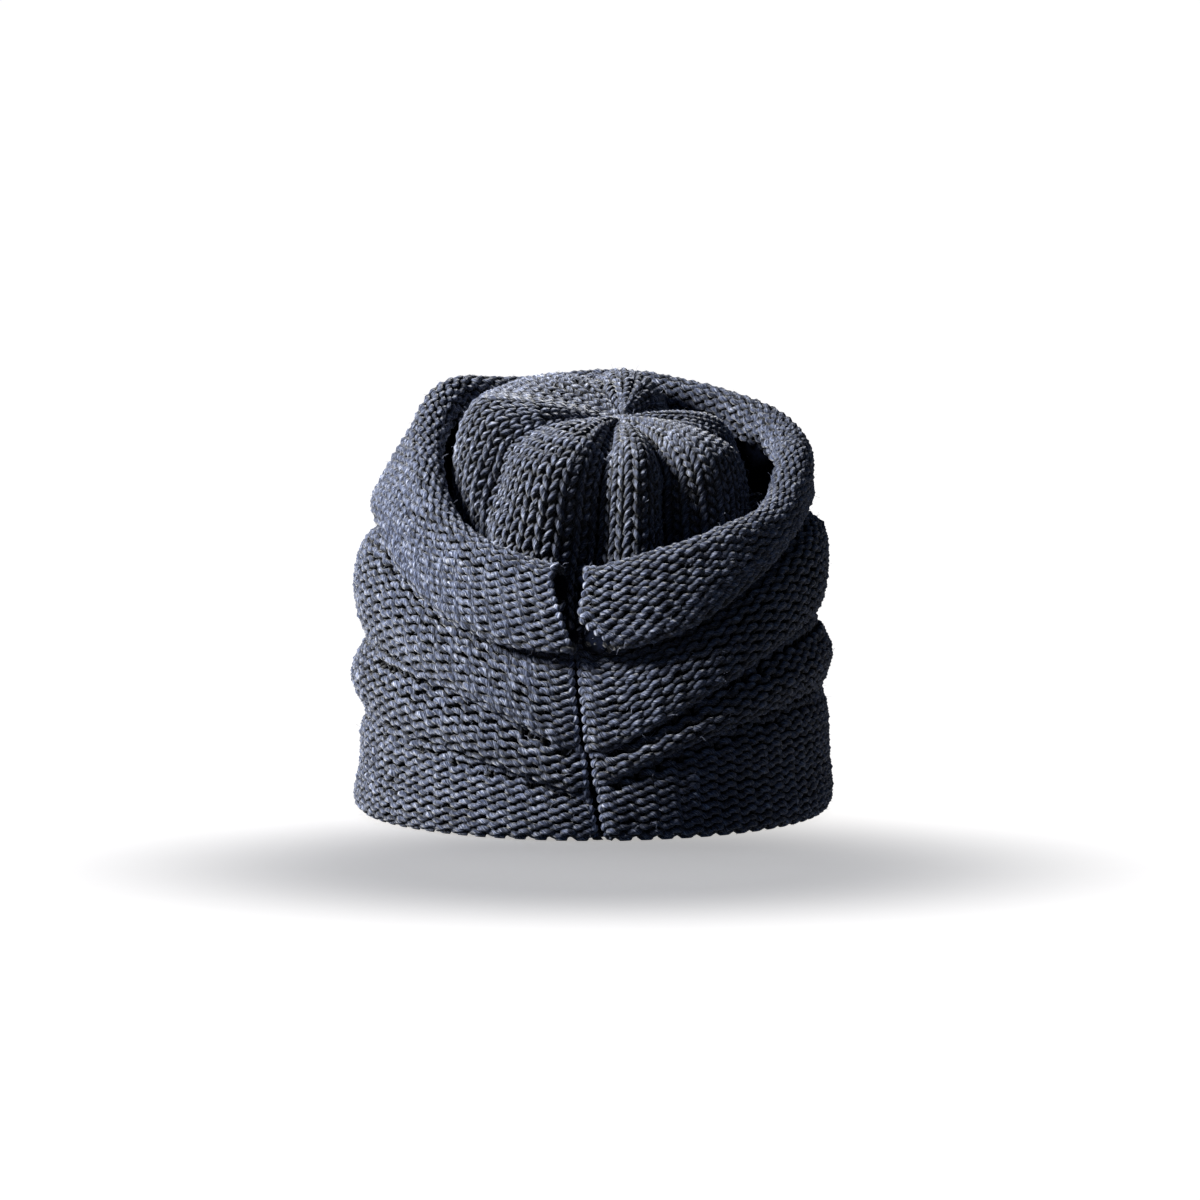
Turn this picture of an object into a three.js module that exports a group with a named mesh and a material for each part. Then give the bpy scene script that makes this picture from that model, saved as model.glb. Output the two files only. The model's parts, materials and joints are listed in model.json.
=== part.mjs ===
// A chunky knitted slouch beanie that stands on its hem: a ruched body and a gathered crown.
// Millimetres, +Z up. The origin is the middle of the footprint on the ground. The back seam faces -Y.
// Azimuths run round the hat from the back seam: +90 degrees is +X, 180 is the front, -90 is -X.
import * as THREE from 'three';

const wall = 4.5; // thickness of the knitted cloth
const seatGap = 0.5; // clearance between the crown's sewn edge and the body
const rollRadius = 7.5; // outer radius of the rolled rim
const columns = 56; // facets round the hat
const crowding = 0.5; // how much closer the facets stand at the back, 0 to 1
const girth = 600; // length once round the hat
const veeRounding = 0.09; // rounds the point of a crease that runs down to the seam like a V
const pinWidth = 11; // the folds flatten this close to the seam
const seamDepth = 2.4; // the seam lies this deep between the two sides
const seamSlope = 3; // width of the left side's slope into the seam
const weltHeight = 1.2; // the right side stands up beside the seam
const weltPlace = 4.5; // distance of that welt from the seam
const weltWidth = 4; // and its width
const weltStep = 1.5; // the right side rises this fast out of the seam

// Makes a list of rows into a list of objects with the named columns.
function table(names, rows) {
  return rows.map((row) => Object.fromEntries(names.map((name, index) => [name, row[index]])));
}

// The body's outer face, a row for each line that runs round the cloth, from the hem up to the rim. h is its
// height and r its reach from the axis, at the back, left, front and right. pin is its reach in the seam
// itself. vee says how the line climbs from the seam on its left and right, 1 like a V and 2 in a round
// sweep. ends is the x of the cloth's left and right ends at the back, which meet in the seam below the
// notch. rows is the number of facets up to the next line.
const bodyLines = table(['line', 'h', 'r', 'pin', 'vee', 'ends', 'rows'], [
  ['hem', [0, 0, 0, 0], [98, 92, 99, 92], 98, [2, 2], [4.5, 4.5], 1],
  ['hem swell', [3, 5, 5, 5], [100, 95, 101, 95], 99, [1, 1], [3.5, 3.5], 1],
  ['band', [6, 20, 24, 23], [101, 92.6, 100, 94], 100, [0.8, 0.8], [2.5, 2.5], 1],
  ['band top', [9, 34, 40, 42], [100.5, 92, 99, 93], 100, [0.8, 0.6], [1.5, 1.5], 2],
  ['crease 3', [14, 41, 48, 50], [96, 89.5, 97, 91], 99, [0.8, 0.6], [0.5, 0.5], 2],
  ['lip 3', [15, 47, 55, 56], [101.5, 93.5, 99.5, 93.3], 100, [0.9, 0.7], [0, 0], 1],
  ['belly 3', [20, 55, 65, 64], [103, 96, 101.5, 95], 100.5, [0.9, 0.8], [-0.5, -0.5], 1],
  ['top 3', [24, 64, 75, 72], [99, 93, 97.5, 92], 99.5, [0.8, 0.8], [-1, -1], 2],
  ['crease 2', [29, 70, 82, 78], [95, 89.3, 95, 88.3], 98, [0.8, 0.9], [-2, -2], 2],
  ['lip 2', [31, 76, 89, 84], [101, 92.3, 98, 91], 99, [1, 1.1], [-3, -3], 1],
  ['belly 2', [46, 90, 105, 98], [99, 95, 98.5, 93.5], 98, [1.4, 1.2], [-4.5, -4.5], 2],
  ['top 2', [63, 107, 122, 114], [94, 91, 94, 91], 93, [2.4, 1.8], [-6, -6], 2],
  ['crease 1', [76, 117, 130, 121], [84, 80, 84, 80], 84, [3.2, 2.2], [-6.5, -6.5], 2],
  ['lip 1', [73, 122, 137, 125], [98, 87.5, 92, 87], 98, [3.2, 2.2], [-6, 9], 1],
  ['belly 1', [85, 133, 150, 131], [95, 82, 88, 87], 95, [2.8, 1.9], [-10.5, -5.5], 2],
  ['rim crest', [104, 150, 169.5, 146], [81, 66, 76, 79.5], 81, [2.6, 1.8], [-12.5, -3], 1],
  ['turned edge', [89, 135, 153, 131], [75, 60, 70, 73.5], 75, [2.6, 1.8], [-11.5, -2], 0],
]);
const seamTop = bodyLines.findIndex(({ line }) => line === 'crease 1'); // the two ends part above this line
const crest = bodyLines.findIndex(({ line }) => line === 'rim crest');

// Places where the cloth stands higher or fuller than the lines say, a row for each: at is its place among
// the body's lines, spread how far it reaches over them, azimuth and width are in degrees, and rise and
// push are how far it lifts the cloth and how far it moves it outwards.
const swells = table(['name', 'at', 'spread', 'azimuth', 'width', 'rise', 'push'], [
  ['rim corner', 15.5, 2, -120, 24, 14, 2],
  ['rim left dip', 15.5, 2, -63, 26, -14, 1],
  ['rim right dip', 15.5, 2, 58, 18, -9, 2],
  ['rim right rise', 15.5, 2, 115, 28, 6.5, 0],
  ['rim right end', 15.5, 2, 12, 14, 4, 0],
  ['left front roll', 10, 1.6, -150, 22, 3, 2.5],
  ['right front dent', 6.5, 1.5, 140, 20, -2, -2.5],
  ['left back crease 3', 4, 0.7, -48, 32, 0, 3],
  ['left back crease 2', 8, 0.7, -48, 32, 0, 3],
  ['left back crease 1', 12, 0.7, -60, 30, 0, 4],
]);

// The crown's outer face, a row for each line from the lower skirt up to the gathered middle, in the same
// columns. fold is how deep the valleys between the lobes are there. Below the skirt lies the edge that is
// sewn to the body.
const sewnRows = 2;
const crownLines = table(['line', 'h', 'r', 'vee', 'fold', 'rows'], [
  ['skirt', [74, 113, 126, 117], [68, 56, 65, 69], [3.2, 2.2], 3, 2],
  ['side', [92, 137, 149, 124], [66, 56, 64, 68.5], [3.4, 2], 11, 2],
  ['brow', [115, 156, 168, 136], [61, 52, 61, 68], [6, 2.4], 13, 2],
  ['shoulder', [140, 165, 173, 148], [54, 44, 50, 62], [7, 2.4], 12, 2],
  ['top', [152, 164, 170, 155], [38, 24, 31, 46], [5, 3], 8, 3],
  ['pucker', [156, 157, 159, 157], [1, -5.5, 11, 17.5], [2, 2], 2.5, 1],
  ['middle', [155, 155, 155, 155], [-5, -11.5, 5, 11.5], [2, 2], 0, 0],
]);
const browLevel = 3 / crownLines.length; // the brow's place between the sewn edge, 0, and the middle, 1

// The valleys between the crown's lobes: azimuth at the brow, swing how far it turns on its way to the
// middle, both in degrees, width in degrees and depth beside the others.
const valleys = table(['azimuth', 'swing', 'width', 'depth'], [
  [-168, 0, 8, 0.5],
  [-60, -40, 11, 0.7],
  [-8, -46, 9, 1.3],
  [27, 6, 8, 1.5],
  [94, 0, 20, 1.1],
  [143, 6, 13, 1.6],
]);

const degrees = Math.PI / 180;

// The angle from one azimuth to another, the short way round.
function turn(from, to) {
  return Math.atan2(Math.sin(to - from), Math.cos(to - from));
}

// One size at an azimuth, blended from its values at the back, left, front and right.
function around([back, left, front, right], [leftVee, rightVee], azimuth) {
  const [side, vee] = Math.sin(azimuth) < 0 ? [left, leftVee] : [right, rightVee];
  const behind = Math.cos(azimuth) > 0;
  const climb = Math.min(1, Math.hypot(Math.sin(azimuth), veeRounding)) ** (behind ? vee : 2);
  return side * climb + (behind ? back : front) * (1 - climb);
}

// The point of a line at an azimuth: on the ellipse through its four reaches, pushed out and raised.
function linePoint({ h, r, vee }, azimuth, push = 0, rise = 0) {
  const [back, left, front, right] = r;
  const x = (right - left) / 2 + ((right + left) / 2 + push) * Math.sin(azimuth);
  const y = (front - back) / 2 - ((front + back) / 2 + push) * Math.cos(azimuth);
  return new THREE.Vector3(x, y, around(h, vee, azimuth) + rise);
}

// The share of the way round for a column, with the columns crowded at the back.
function share(column) {
  const even = column / columns;
  return even - (crowding * Math.sin(2 * Math.PI * even)) / (2 * Math.PI);
}

// How deep a valley of the crown lies at an azimuth at the brow: 0 on the lobes, about 1 in a valley.
function valleyDepth(azimuth) {
  return Math.max(...valleys.map((valley) => {
    const away = Math.abs(turn(valley.azimuth * degrees, azimuth)) / (valley.width * degrees);
    return valley.depth * Math.exp(-(away ** 1.3));
  }));
}

// How far the crown's cloth swings round towards the middle at an azimuth, from the valleys beside it.
function swingAt(azimuth) {
  let total = 0;
  let sum = 0;
  valleys.forEach((valley) => {
    const pull = 1 / (0.02 + turn(valley.azimuth * degrees, azimuth) ** 2);
    total += pull * valley.swing;
    sum += pull;
  });
  return (total / sum) * degrees;
}

// The lines of the body's curve: its own, with the rim's crest drawn out into the half round of the roll.
const curveLines = bodyLines.flatMap((row, index) => {
  const plain = { ...row, index, push: 0, rise: 0 };
  if (index !== crest) return [plain];
  return [0, 45, 90, 135, 180].map((angle) => ({
    ...plain,
    push: rollRadius * Math.cos(angle * degrees),
    rise: rollRadius * (Math.sin(angle * degrees) - 1),
  }));
});
const seamTopPlace = seamTop / (curveLines.length - 1);

// Remembers the curve of each column, because neighbouring points ask for the same ones.
function remembered(makeCurve) {
  const made = new Map();
  return (column) => {
    if (!made.has(column)) made.set(column, makeCurve(column));
    return made.get(column);
  };
}

// The curve of the body's outer face at a column, without the groove of the seam.
const bodyCurve = remembered((column) => {
  const fromSeam = girth * Math.min(share(column), 1 - share(column));
  const pinned = Math.exp(-((fromSeam / pinWidth) ** 2));
  const points = curveLines.map((row) => {
    const width = (row.r[1] + row.r[3]) / 2;
    const middle = (row.r[3] - row.r[1]) / 2;
    const [left, right] = row.ends.map((x) => Math.asin((x - middle) / width));
    const azimuth = right + (2 * Math.PI + left - right) * share(column);
    let push = row.push + pinned * (row.pin - row.r[0]);
    let { rise } = row;
    swells.forEach((swell) => {
      const away = turn(swell.azimuth * degrees, azimuth) / (swell.width * degrees);
      const strength = Math.exp(-(away ** 2) - ((row.index - swell.at) / swell.spread) ** 2);
      push += swell.push * strength;
      rise += swell.rise * strength;
    });
    return linePoint(row, azimuth, push, rise);
  });
  return new THREE.CatmullRomCurve3(points, false, 'centripetal');
});

// How far the cloth stands out beside the seam: a soft slope on its left, a welt close on its right.
function seamRelief(column) {
  const fromRight = girth * share(column);
  const fromLeft = girth - fromRight;
  const slope = -seamDepth * Math.exp(-((fromLeft / seamSlope) ** 2));
  const step = Math.exp(-fromRight / weltStep);
  const welt = weltHeight * (1 - step) * Math.exp(-(((fromRight - weltPlace) / weltWidth) ** 2));
  return slope - seamDepth * step + welt;
}

// The outward normal of the surface that a curve draws as its column moves.
function normalAt(curveOf, column, place) {
  const across = curveOf(Math.min(columns, column + 0.1)).getPoint(place);
  across.sub(curveOf(Math.max(0, column - 0.1)).getPoint(place));
  const along = curveOf(column).getPoint(Math.min(1, place + 0.002));
  along.sub(curveOf(column).getPoint(Math.max(0, place - 0.002)));
  return across.cross(along).normalize();
}

// The curve of the crown's outer face at a column, over the crests of its lobes. It starts at the sewn
// edge, just inside the body's inner face at the top crease.
const crownCurve = remembered((column) => {
  const sewn = bodyCurve(column).getPoint(seamTopPlace);
  sewn.addScaledVector(normalAt(bodyCurve, column, seamTopPlace), -wall);
  sewn.add(new THREE.Vector3(-sewn.x, -sewn.y, 0).setLength(seatGap));
  const azimuth = 2 * Math.PI * share(column);
  const points = crownLines.map((row, index) => {
    const inward = Math.max(0, ((index + 1) / crownLines.length - browLevel) / (1 - browLevel));
    return linePoint(row, azimuth + swingAt(azimuth) * inward ** 4);
  });
  return new THREE.CatmullRomCurve3([sewn, ...points], false, 'centripetal');
});

// How far the crown's cloth lies below the crests of its lobes at a column and a place.
function crownRelief(column, place) {
  const last = crownLines.length;
  const index = Math.min(Math.floor(place * last), last - 1);
  const [low, high] = [index ? crownLines[index - 1].fold : 0, crownLines[index].fold];
  const fold = low + (high - low) * (place * last - index);
  return -fold * valleyDepth(2 * Math.PI * share(column));
}

// The place along a curve of each row of facets, with so many rows after each of its lines.
function rowPlaces(rowCounts) {
  const places = [0];
  rowCounts.forEach((rows, index) => {
    for (let step = 1; step <= rows; step += 1) places.push((index + step / rows) / (rowCounts.length - 1));
  });
  return places;
}

// Two grids of points, the faces of a wall: the outer one stands out from the curves by their relief, and
// the inner one lies a wall's thickness inside it.
function wallGrids(curveOf, places, reliefOf) {
  const grids = [[], []];
  places.forEach((place) => {
    const rows = [[], []];
    for (let column = 0; column <= columns; column += 1) {
      const point = curveOf(column).getPoint(place);
      const normal = normalAt(curveOf, column, place);
      const relief = reliefOf(column, place);
      rows[0].push(point.clone().addScaledVector(normal, relief));
      rows[1].push(point.clone().addScaledVector(normal, relief - wall));
    }
    grids.forEach((grid, side) => grid.push(rows[side]));
  });
  return grids;
}

// Makes the last point of a row the same point as its first.
function closeRow(row) {
  row[columns] = row[0];
}

// Four corners as two triangles, without those that have no area because corners are shared.
function quad(a, b, c, d) {
  return [[a, b, c], [a, c, d]].filter((corners) => new Set(corners).size === 3);
}

// The closed mesh of a wall: its two faces, its two rims, and the two ends where its rows don't close.
function wallMesh(name, [outer, inner], material) {
  const faces = [];
  const last = outer.length - 1;
  for (let row = 0; row < last; row += 1) {
    const [low, high] = [outer[row], outer[row + 1]];
    const [lowIn, highIn] = [inner[row], inner[row + 1]];
    for (let i = 0; i < columns; i += 1) {
      faces.push(...quad(low[i], low[i + 1], high[i + 1], high[i]));
      faces.push(...quad(highIn[i], highIn[i + 1], lowIn[i + 1], lowIn[i]));
    }
    if (high[0] !== high[columns]) {
      faces.push(...quad(low[0], high[0], highIn[0], lowIn[0]));
      faces.push(...quad(high[columns], low[columns], lowIn[columns], highIn[columns]));
    }
  }
  for (let i = 0; i < columns; i += 1) {
    faces.push(...quad(outer[0][i + 1], outer[0][i], inner[0][i], inner[0][i + 1]));
    faces.push(...quad(outer[last][i], outer[last][i + 1], inner[last][i + 1], inner[last][i]));
  }
  const numbers = new Map();
  faces.flat().forEach((point) => {
    if (!numbers.has(point)) numbers.set(point, numbers.size);
  });
  const geometry = new THREE.BufferGeometry().setFromPoints([...numbers.keys()]);
  geometry.setIndex(faces.flat().map((point) => numbers.get(point)));
  geometry.computeVertexNormals();
  const mesh = new THREE.Mesh(geometry, material);
  mesh.name = name;
  return mesh;
}

// Charcoal yarn: matt, with no metal.
function yarn() {
  return new THREE.MeshStandardMaterial({ color: '#4b4f60', roughness: 0.95, metalness: 0 });
}

// The body: one tube of cloth, closed in the seam up to the top crease and open in a notch above it.
function makeBody() {
  const places = rowPlaces(curveLines.map(({ rows }) => rows));
  const closedRows = places.filter((place) => place < seamTopPlace + 1e-6).length;
  const grids = wallGrids(bodyCurve, places, () => 0);
  grids[0].forEach((row) => row.forEach((point, column) => point.setY(point.y - seamRelief(column))));
  grids.forEach((grid) => {
    grid[0].forEach((point) => point.setZ(0));
    grid.slice(0, closedRows).forEach(closeRow);
  });
  return wallMesh('ruched_body', grids, yarn());
}

// The crown: a cap whose cloth is drawn into lobes that meet in the middle.
function makeCrown() {
  const places = rowPlaces([sewnRows, ...crownLines.map(({ rows }) => rows)]);
  const grids = wallGrids(crownCurve, places, crownRelief);
  grids.forEach((grid) => {
    grid.forEach(closeRow);
    grid.at(-1).fill(grid.at(-1)[0]);
  });
  return wallMesh('gathered_crown', grids, yarn());
}

const beanie = new THREE.Group();
beanie.add(makeBody(), makeCrown());

export default beanie;
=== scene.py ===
# A chunky knitted slouch beanie: courses of looped yarn, laid on the shape that its solids have.
import json
import math

import bpy
import numpy as np
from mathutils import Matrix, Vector

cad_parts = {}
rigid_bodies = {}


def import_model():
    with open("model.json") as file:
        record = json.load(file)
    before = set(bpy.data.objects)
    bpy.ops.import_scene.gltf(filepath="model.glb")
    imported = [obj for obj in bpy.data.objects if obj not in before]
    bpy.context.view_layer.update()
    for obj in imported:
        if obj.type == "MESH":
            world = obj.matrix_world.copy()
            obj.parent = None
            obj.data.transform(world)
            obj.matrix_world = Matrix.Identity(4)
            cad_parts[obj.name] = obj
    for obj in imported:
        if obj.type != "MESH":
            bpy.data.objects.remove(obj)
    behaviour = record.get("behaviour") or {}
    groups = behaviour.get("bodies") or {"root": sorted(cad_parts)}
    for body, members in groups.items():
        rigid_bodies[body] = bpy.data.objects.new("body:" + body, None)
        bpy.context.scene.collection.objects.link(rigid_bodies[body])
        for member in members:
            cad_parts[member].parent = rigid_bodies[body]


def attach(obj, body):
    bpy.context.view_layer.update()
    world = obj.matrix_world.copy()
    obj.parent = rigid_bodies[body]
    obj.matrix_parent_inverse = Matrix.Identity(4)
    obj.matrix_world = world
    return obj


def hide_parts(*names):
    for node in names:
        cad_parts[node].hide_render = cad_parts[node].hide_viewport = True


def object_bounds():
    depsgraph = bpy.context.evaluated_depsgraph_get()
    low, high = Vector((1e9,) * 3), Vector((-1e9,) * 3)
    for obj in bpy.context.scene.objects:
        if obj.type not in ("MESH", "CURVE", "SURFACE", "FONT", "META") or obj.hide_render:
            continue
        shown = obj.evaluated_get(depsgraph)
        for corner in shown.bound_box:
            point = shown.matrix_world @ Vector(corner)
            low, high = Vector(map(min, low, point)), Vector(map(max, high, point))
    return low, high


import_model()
cadLow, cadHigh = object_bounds()
print("frame loaded")

mm = 0.001  # the tables below are in millimetres, Blender works in metres
turnRound = 2 * math.pi


# The hat's shape, in the same sizes as the solids.


def table(names, rows):
    # a dictionary for each row
    return [dict(zip(names, row)) for row in rows]


# one row for each line round the cloth, from the hem to the inside of the rim: h is its height and r its
# reach at the back, left, front and right, pin its reach in the seam, vee how it climbs from the seam on
# its left and right, ends the x of the cloth's two ends at the back
bodyLines = table(["line", "h", "r", "pin", "vee", "ends"], [
    ["hem", [0, 0, 0, 0], [98, 92, 99, 92], 98, [2, 2], [4.5, 4.5]],
    ["hem swell", [3, 5, 5, 5], [100, 95, 101, 95], 99, [1, 1], [3.5, 3.5]],
    ["band", [6, 20, 24, 23], [101, 92.6, 100, 94], 100, [0.8, 0.8], [2.5, 2.5]],
    ["band top", [9, 34, 40, 42], [100.5, 92, 99, 93], 100, [0.8, 0.6], [1.5, 1.5]],
    ["crease 3", [14, 41, 48, 50], [96, 89.5, 97, 91], 99, [0.8, 0.6], [0.5, 0.5]],
    ["lip 3", [15, 47, 55, 56], [101.5, 93.5, 99.5, 93.3], 100, [0.9, 0.7], [0, 0]],
    ["belly 3", [20, 55, 65, 64], [103, 96, 101.5, 95], 100.5, [0.9, 0.8], [-0.5, -0.5]],
    ["top 3", [24, 64, 75, 72], [99, 93, 97.5, 92], 99.5, [0.8, 0.8], [-1, -1]],
    ["crease 2", [29, 70, 82, 78], [95, 89.3, 95, 88.3], 98, [0.8, 0.9], [-2, -2]],
    ["lip 2", [31, 76, 89, 84], [101, 92.3, 98, 91], 99, [1, 1.1], [-3, -3]],
    ["belly 2", [46, 90, 105, 98], [99, 95, 98.5, 93.5], 98, [1.4, 1.2], [-4.5, -4.5]],
    ["top 2", [63, 107, 122, 114], [94, 91, 94, 91], 93, [2.4, 1.8], [-6, -6]],
    ["crease 1", [76, 117, 130, 121], [84, 80, 84, 80], 84, [3.2, 2.2], [-6.5, -6.5]],
    ["lip 1", [73, 122, 137, 125], [98, 87.5, 92, 87], 98, [3.2, 2.2], [-6, 9]],
    ["belly 1", [85, 133, 150, 131], [95, 82, 88, 87], 95, [2.8, 1.9], [-10.5, -5.5]],
    ["rim crest", [104, 150, 169.5, 146], [81, 66, 76, 79.5], 81, [2.6, 1.8], [-12.5, -3]],
    ["turned edge", [89, 135, 153, 131], [75, 60, 70, 73.5], 75, [2.6, 1.8], [-11.5, -2]],
])
# where the cloth stands higher or fuller than the lines say: at is a place among the lines, spread how far
# it reaches over them, azimuth and width are in degrees, rise and push in millimetres
swells = table(["name", "at", "spread", "azimuth", "width", "rise", "push"], [
    ["rim corner", 15.5, 2, -120, 24, 14, 2],
    ["rim left dip", 15.5, 2, -63, 26, -14, 1],
    ["rim right dip", 15.5, 2, 58, 18, -9, 2],
    ["rim right rise", 15.5, 2, 115, 28, 6.5, 0],
    ["rim right end", 15.5, 2, 12, 14, 4, 0],
    ["left front roll", 10, 1.6, -150, 22, 3, 2.5],
    ["right front dent", 6.5, 1.5, 140, 20, -2, -2.5],
    ["left back crease 3", 4, 0.7, -48, 32, 0, 3],
    ["left back crease 2", 8, 0.7, -48, 32, 0, 3],
    ["left back crease 1", 12, 0.7, -60, 30, 0, 4],
])
crownLines = table(["line", "h", "r", "vee", "fold"], [
    ["skirt", [74, 113, 126, 117], [68, 56, 65, 69], [3.2, 2.2], 3],
    ["side", [92, 137, 149, 124], [66, 56, 64, 68.5], [3.4, 2], 11],
    ["brow", [115, 156, 168, 136], [61, 52, 61, 68], [6, 2.4], 13],
    ["shoulder", [140, 165, 173, 148], [54, 44, 50, 62], [7, 2.4], 12],
    ["top", [152, 164, 170, 155], [38, 24, 31, 46], [5, 3], 8],
    ["pucker", [156, 157, 159, 157], [1, -5.5, 11, 17.5], [2, 2], 2.5],
    ["middle", [155, 155, 155, 155], [-5, -11.5, 5, 11.5], [2, 2], 0],
])
# the valleys between the crown's lobes
valleys = table(["azimuth", "swing", "width", "depth"], [
    [-168, 0, 8, 0.5],
    [-60, -40, 11, 0.7],
    [-8, -46, 9, 1.3],
    [27, 6, 8, 1.5],
    [94, 0, 20, 1.1],
    [143, 6, 13, 1.6],
])
shape = dict(
    wall=4.5, rollRadius=7.5, girth=600, veeRounding=0.09, pinWidth=11,
    seamDepth=2.4, seamSlope=3, weltHeight=1.2, weltPlace=4.5, weltWidth=4, weltStep=1.5,
    columns=840, rowsPerLine=34, step=0.5,  # how finely the cloth is laid out, the step in millimetres
    evenRows=8, evenColumns=4,  # how far the normals are evened out, up and across
)
lineNames = [row["line"] for row in bodyLines]
crestIndex = lineNames.index("rim crest")
browPlace = 1 + [row["line"] for row in crownLines].index("brow")  # the sewn edge comes before the lines
rollAngles = np.radians([0, 45, 90, 135, 180])


def around(values, vee, azimuth):
    # blends a size from its values at the back, left, front and right: it climbs with the sine of the
    # azimuth to a power, which is the vee behind and 2 in front
    back, left, front, right = values
    onLeft = np.sin(azimuth) < 0
    behind = np.cos(azimuth) > 0
    power = np.where(behind, np.where(onLeft, vee[0], vee[1]), 2)
    climb = np.minimum(1, np.hypot(np.sin(azimuth), shape["veeRounding"])) ** power
    return np.where(onLeft, left, right) * climb + np.where(behind, back, front) * (1 - climb)


def linePoints(row, azimuth, push=0, rise=0):
    # an ellipse through the line's four reaches
    back, left, front, right = row["r"]
    x = (right - left) / 2 + ((right + left) / 2 + push) * np.sin(azimuth)
    y = (front - back) / 2 - ((front + back) / 2 + push) * np.cos(azimuth)
    return np.stack([x, y, around(row["h"], row["vee"], azimuth) + rise], -1)


def throughPoints(points, places):
    # centripetal curves through rows of points, at places from 0 to 1: a cubic between two points, whose
    # slopes blend those of the gaps around them, each gap counted as the square root of its length
    last = len(points) - 1
    ends = [2 * points[:1] - points[1:2], points, 2 * points[-1:] - points[-2:-1]]
    padded = np.concatenate(ends)
    index = np.minimum((places * last).astype(int), last - 1)
    w = (places * last - index)[:, None, None]
    a, b, c, d = (padded[index + k] for k in range(4))
    gapA, gapB, gapC = (
        np.maximum(np.linalg.norm(q - p, axis=-1, keepdims=True), 1e-6) ** 0.5
        for p, q in ((a, b), (b, c), (c, d))
    )
    fromB = ((b - a) / gapA - (c - a) / (gapA + gapB) + (c - b) / gapB) * gapB
    fromC = ((c - b) / gapB - (d - b) / (gapB + gapC) + (d - c) / gapC) * gapB
    return (
        b + fromB * w + (3 * (c - b) - 2 * fromB - fromC) * w**2
        + (2 * (b - c) + fromB + fromC) * w**3
    )


def turnTo(start, end):
    # the angle from one azimuth to another, the short way round
    return np.arctan2(np.sin(end - start), np.cos(end - start))


def bodyGrid(share, places):
    # the body's outer face: share runs round from the right of the seam to its left, places from the hem
    # to the turned edge of the rim. A swell fades by bell curves over the azimuth and over the lines.
    fromSeam = shape["girth"] * np.minimum(share, 1 - share)
    pinned = np.exp(-((fromSeam / shape["pinWidth"]) ** 2))
    points = []
    for index, row in enumerate(bodyLines):
        back, left, _, right = row["r"]
        width, middle = (left + right) / 2, (right - left) / 2
        leftEnd, rightEnd = (math.asin((x - middle) / width) for x in row["ends"])
        azimuth = rightEnd + (turnRound + leftEnd - rightEnd) * share
        push = pinned * (row["pin"] - back)
        rise = np.zeros_like(share)
        for swell in swells:
            away = turnTo(math.radians(swell["azimuth"]), azimuth) / math.radians(swell["width"])
            strength = np.exp(-(away**2) - ((index - swell["at"]) / swell["spread"]) ** 2)
            push = push + swell["push"] * strength
            rise = rise + swell["rise"] * strength
        # the crest is drawn out into the half round of the rolled rim, the other lines stay where they are
        for angle in rollAngles if index == crestIndex else [math.pi / 2]:
            out = shape["rollRadius"] * math.cos(angle)
            up = shape["rollRadius"] * (math.sin(angle) - 1)
            points.append(linePoints(row, azimuth, push + out, rise + up))
    return throughPoints(np.array(points), places)


def seamRelief(share):
    # a soft slope into the seam on its left, by a bell curve, and a steep one on its right, which falls off
    # as an exponential, with a welt beside it
    fromRight = shape["girth"] * share
    fromLeft = shape["girth"] - fromRight
    slope = -shape["seamDepth"] * np.exp(-((fromLeft / shape["seamSlope"]) ** 2))
    step = np.exp(-fromRight / shape["weltStep"])
    welt = np.exp(-(((fromRight - shape["weltPlace"]) / shape["weltWidth"]) ** 2))
    return slope - shape["seamDepth"] * step + shape["weltHeight"] * (1 - step) * welt


def crownGrid(share, places, sewn):
    # the crown's outer face, from its sewn edge to the middle, over the crests of its lobes. It swings round
    # like the valleys near by, each counted by one over the square of its distance, and that grows with the
    # fourth power of the way from the brow to the middle.
    azimuth = turnRound * share
    pulls = [1 / (0.02 + turnTo(math.radians(v["azimuth"]), azimuth) ** 2) for v in valleys]
    swing = sum(p * v["swing"] for p, v in zip(pulls, valleys)) / sum(pulls)
    browLevel = browPlace / len(crownLines)
    points = [sewn]
    for index, row in enumerate(crownLines):
        inward = max(0, ((index + 1) / len(crownLines) - browLevel) / (1 - browLevel))
        points.append(linePoints(row, azimuth + np.radians(swing) * inward**4))
    return throughPoints(np.array(points), places)


def foldDepth(share, places):
    # how deep the valleys lie below the crests of the lobes: an exponential that falls off with the
    # distance from a valley, in its widths and to the power of 1.3
    azimuth = turnRound * share
    across = np.max([
        v["depth"] * np.exp(-(np.abs(turnTo(math.radians(v["azimuth"]), azimuth))
                              / math.radians(v["width"])) ** 1.3)
        for v in valleys
    ], axis=0)
    along = np.interp(places * len(crownLines), range(len(crownLines) + 1),
                      [0] + [row["fold"] for row in crownLines])
    return along[:, None] * across[None, :]


def unit(vectors):
    # each divided by its own length
    return vectors / np.maximum(np.linalg.norm(vectors, axis=-1, keepdims=True), 1e-9)


def normals(grid):
    # the cross product of the slopes to the right and up, which points outwards
    return unit(np.cross(np.gradient(grid, axis=1), np.gradient(grid, axis=0)))


def blurred(grid, rows, columns):
    # the mean over a few neighbours, up and across, from running totals
    for axis, reach in ((0, rows), (1, columns)):
        padded = np.concatenate([
            np.repeat(np.take(grid, [0], axis), reach, axis), grid,
            np.repeat(np.take(grid, [-1], axis), reach, axis),
        ], axis)
        total = np.cumsum(padded, axis)
        width = 2 * reach + 1
        first = np.take(total, [width - 1], axis)
        rest = np.take(total, range(width, total.shape[axis]), axis)
        less = np.take(total, range(0, total.shape[axis] - width), axis)
        grid = np.concatenate([first, rest - less], axis) / width
    return grid


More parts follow.
